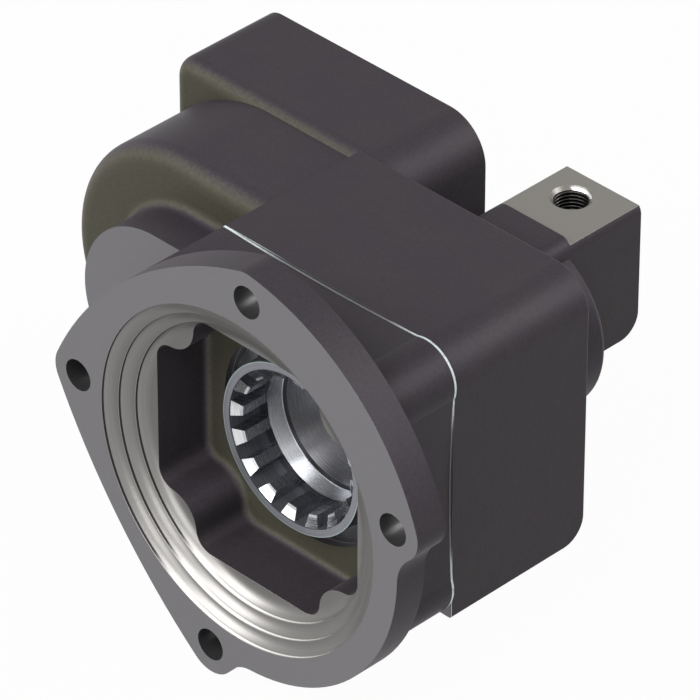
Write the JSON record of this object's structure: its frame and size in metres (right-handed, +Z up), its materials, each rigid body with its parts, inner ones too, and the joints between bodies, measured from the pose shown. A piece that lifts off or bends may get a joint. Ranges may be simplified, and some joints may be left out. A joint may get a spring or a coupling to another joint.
{
  "type": "power take off unit",
  "caption": "Air-shifted power take off for a truck gearbox: cast housing, flange with stepped register, toothed sliding sleeve and an offset pump output.",
  "frame": {"origin": "centre of the flange register in the flange face that meets the gearbox", "axes": "+Z up, -Y out of the flange face along the input axis, +X to the right as the flange is seen"},
  "size_m": [0.2188, 0.164, 0.161],
  "materials": {
    "painted_casting": "dark grey paint on a rough casting",
    "cover_casting": "dark grey paint on a rough casting, machined flange face and register",
    "gasket": "pressed fibre sheet",
    "screws": "black oxide",
    "ground_steel": "ground",
    "gear_steel": "case-hardened, ground flanks",
    "sleeve_steel": "phosphated, bright on the tooth ends",
    "spring_steel": "dark spring steel",
    "piston_aluminium": "turned",
    "nitrile": "matt",
    "plate_steel": "turned",
    "bronze": "sintered bronze",
    "shaft_steel": "turned and ground",
    "carrier_iron": "machined",
    "seal_rubber": "matt",
    "bearing_steel": "ground",
    "ball_steel": "polished",
    "cage_steel": "pressed"
  },
  "bodies": {
    "housing": {"main_housing": "painted_casting", "front_cover": "cover_casting", "joint_gasket": "gasket", "corner_screws": "screws", "side_screws": "screws", "dowel_pins": "ground_steel", "rod_guide_plate": "plate_steel", "guide_plate_o_ring": "nitrile", "guide_bush": "bronze", "guide_plate_clip": "spring_steel", "return_spring": "spring_steel", "output_carrier": "carrier_iron", "carrier_o_ring": "nitrile", "carrier_clip": "spring_steel", "output_seal": "seal_rubber", "input_front_outer_ring": "bearing_steel", "input_rear_outer_ring": "bearing_steel", "output_front_outer_ring": "bearing_steel", "output_rear_outer_ring": "bearing_steel"},
    "input": {"input_gear": "gear_steel", "input_front_inner_ring": "bearing_steel", "input_rear_inner_ring": "bearing_steel"},
    "sleeve": {"engagement_sleeve": "sleeve_steel", "sleeve_clip": "spring_steel", "shift_outer_ring": "bearing_steel"},
    "piston": {"piston": "piston_aluminium", "piston_o_ring": "nitrile", "piston_rod": "ground_steel", "piston_screw": "screws", "rod_clip": "spring_steel", "shift_inner_ring": "bearing_steel"},
    "output": {"output_shaft": "shaft_steel", "output_gear": "gear_steel", "gear_key": "ground_steel", "output_gear_clip": "spring_steel", "output_front_inner_ring": "bearing_steel", "output_rear_inner_ring": "bearing_steel"},
    "input_front_cage": {"input_front_cage": "cage_steel", "input_front_balls": "ball_steel"},
    "input_rear_cage": {"input_rear_cage": "cage_steel", "input_rear_balls": "ball_steel"},
    "output_front_cage": {"output_front_cage": "cage_steel", "output_front_balls": "ball_steel"},
    "output_rear_cage": {"output_rear_cage": "cage_steel", "output_rear_balls": "ball_steel"},
    "shift_cage": {"shift_cage": "cage_steel", "shift_balls": "ball_steel"}
  },
  "joints": [
    {"name": "input_spin", "type": "hinge", "parent": "housing", "child": "input", "pos_m": [0, 0, 0], "axis": [0, 1, 0], "continuous": true},
    {"name": "output_spin", "type": "hinge", "parent": "housing", "child": "output", "pos_m": [-0.08246, 0, -0.0026], "axis": [0, 1, 0], "continuous": true},
    {"name": "piston_slide", "type": "slide", "parent": "housing", "child": "piston", "axis": [0, -1, 0], "range_m": [0, 0.01], "stiffness_N_per_m": 4000, "springref_m": -0.015, "deforming": ["return_spring"]},
    {"name": "sleeve_slide", "type": "slide", "parent": "input", "child": "sleeve", "axis": [0, -1, 0], "range_m": [0, 0.01]},
    {"name": "input_front_cage_spin", "type": "hinge", "parent": "housing", "child": "input_front_cage", "pos_m": [0, 0, 0], "axis": [0, 1, 0], "continuous": true},
    {"name": "input_rear_cage_spin", "type": "hinge", "parent": "housing", "child": "input_rear_cage", "pos_m": [0, 0, 0], "axis": [0, 1, 0], "continuous": true},
    {"name": "output_front_cage_spin", "type": "hinge", "parent": "housing", "child": "output_front_cage", "pos_m": [-0.08246, 0, -0.0026], "axis": [0, 1, 0], "continuous": true},
    {"name": "output_rear_cage_spin", "type": "hinge", "parent": "housing", "child": "output_rear_cage", "pos_m": [-0.08246, 0, -0.0026], "axis": [0, 1, 0], "continuous": true},
    {"name": "shift_cage_spin", "type": "hinge", "parent": "piston", "child": "shift_cage", "pos_m": [0, 0, 0], "axis": [0, 1, 0], "continuous": true}
  ],
  "couplings": [
    {"joint": "output_spin", "follows": "input_spin", "ratio": -1.037},
    {"joint": "sleeve_slide", "follows": "piston_slide", "ratio": 1},
    {"joint": "input_front_cage_spin", "follows": "input_spin", "ratio": 0.4625},
    {"joint": "input_rear_cage_spin", "follows": "input_spin", "ratio": 0.44426},
    {"joint": "output_front_cage_spin", "follows": "input_spin", "ratio": -0.41077},
    {"joint": "output_rear_cage_spin", "follows": "input_spin", "ratio": -0.44832},
    {"joint": "shift_cage_spin", "follows": "input_spin", "ratio": 0.6193}
  ]
}
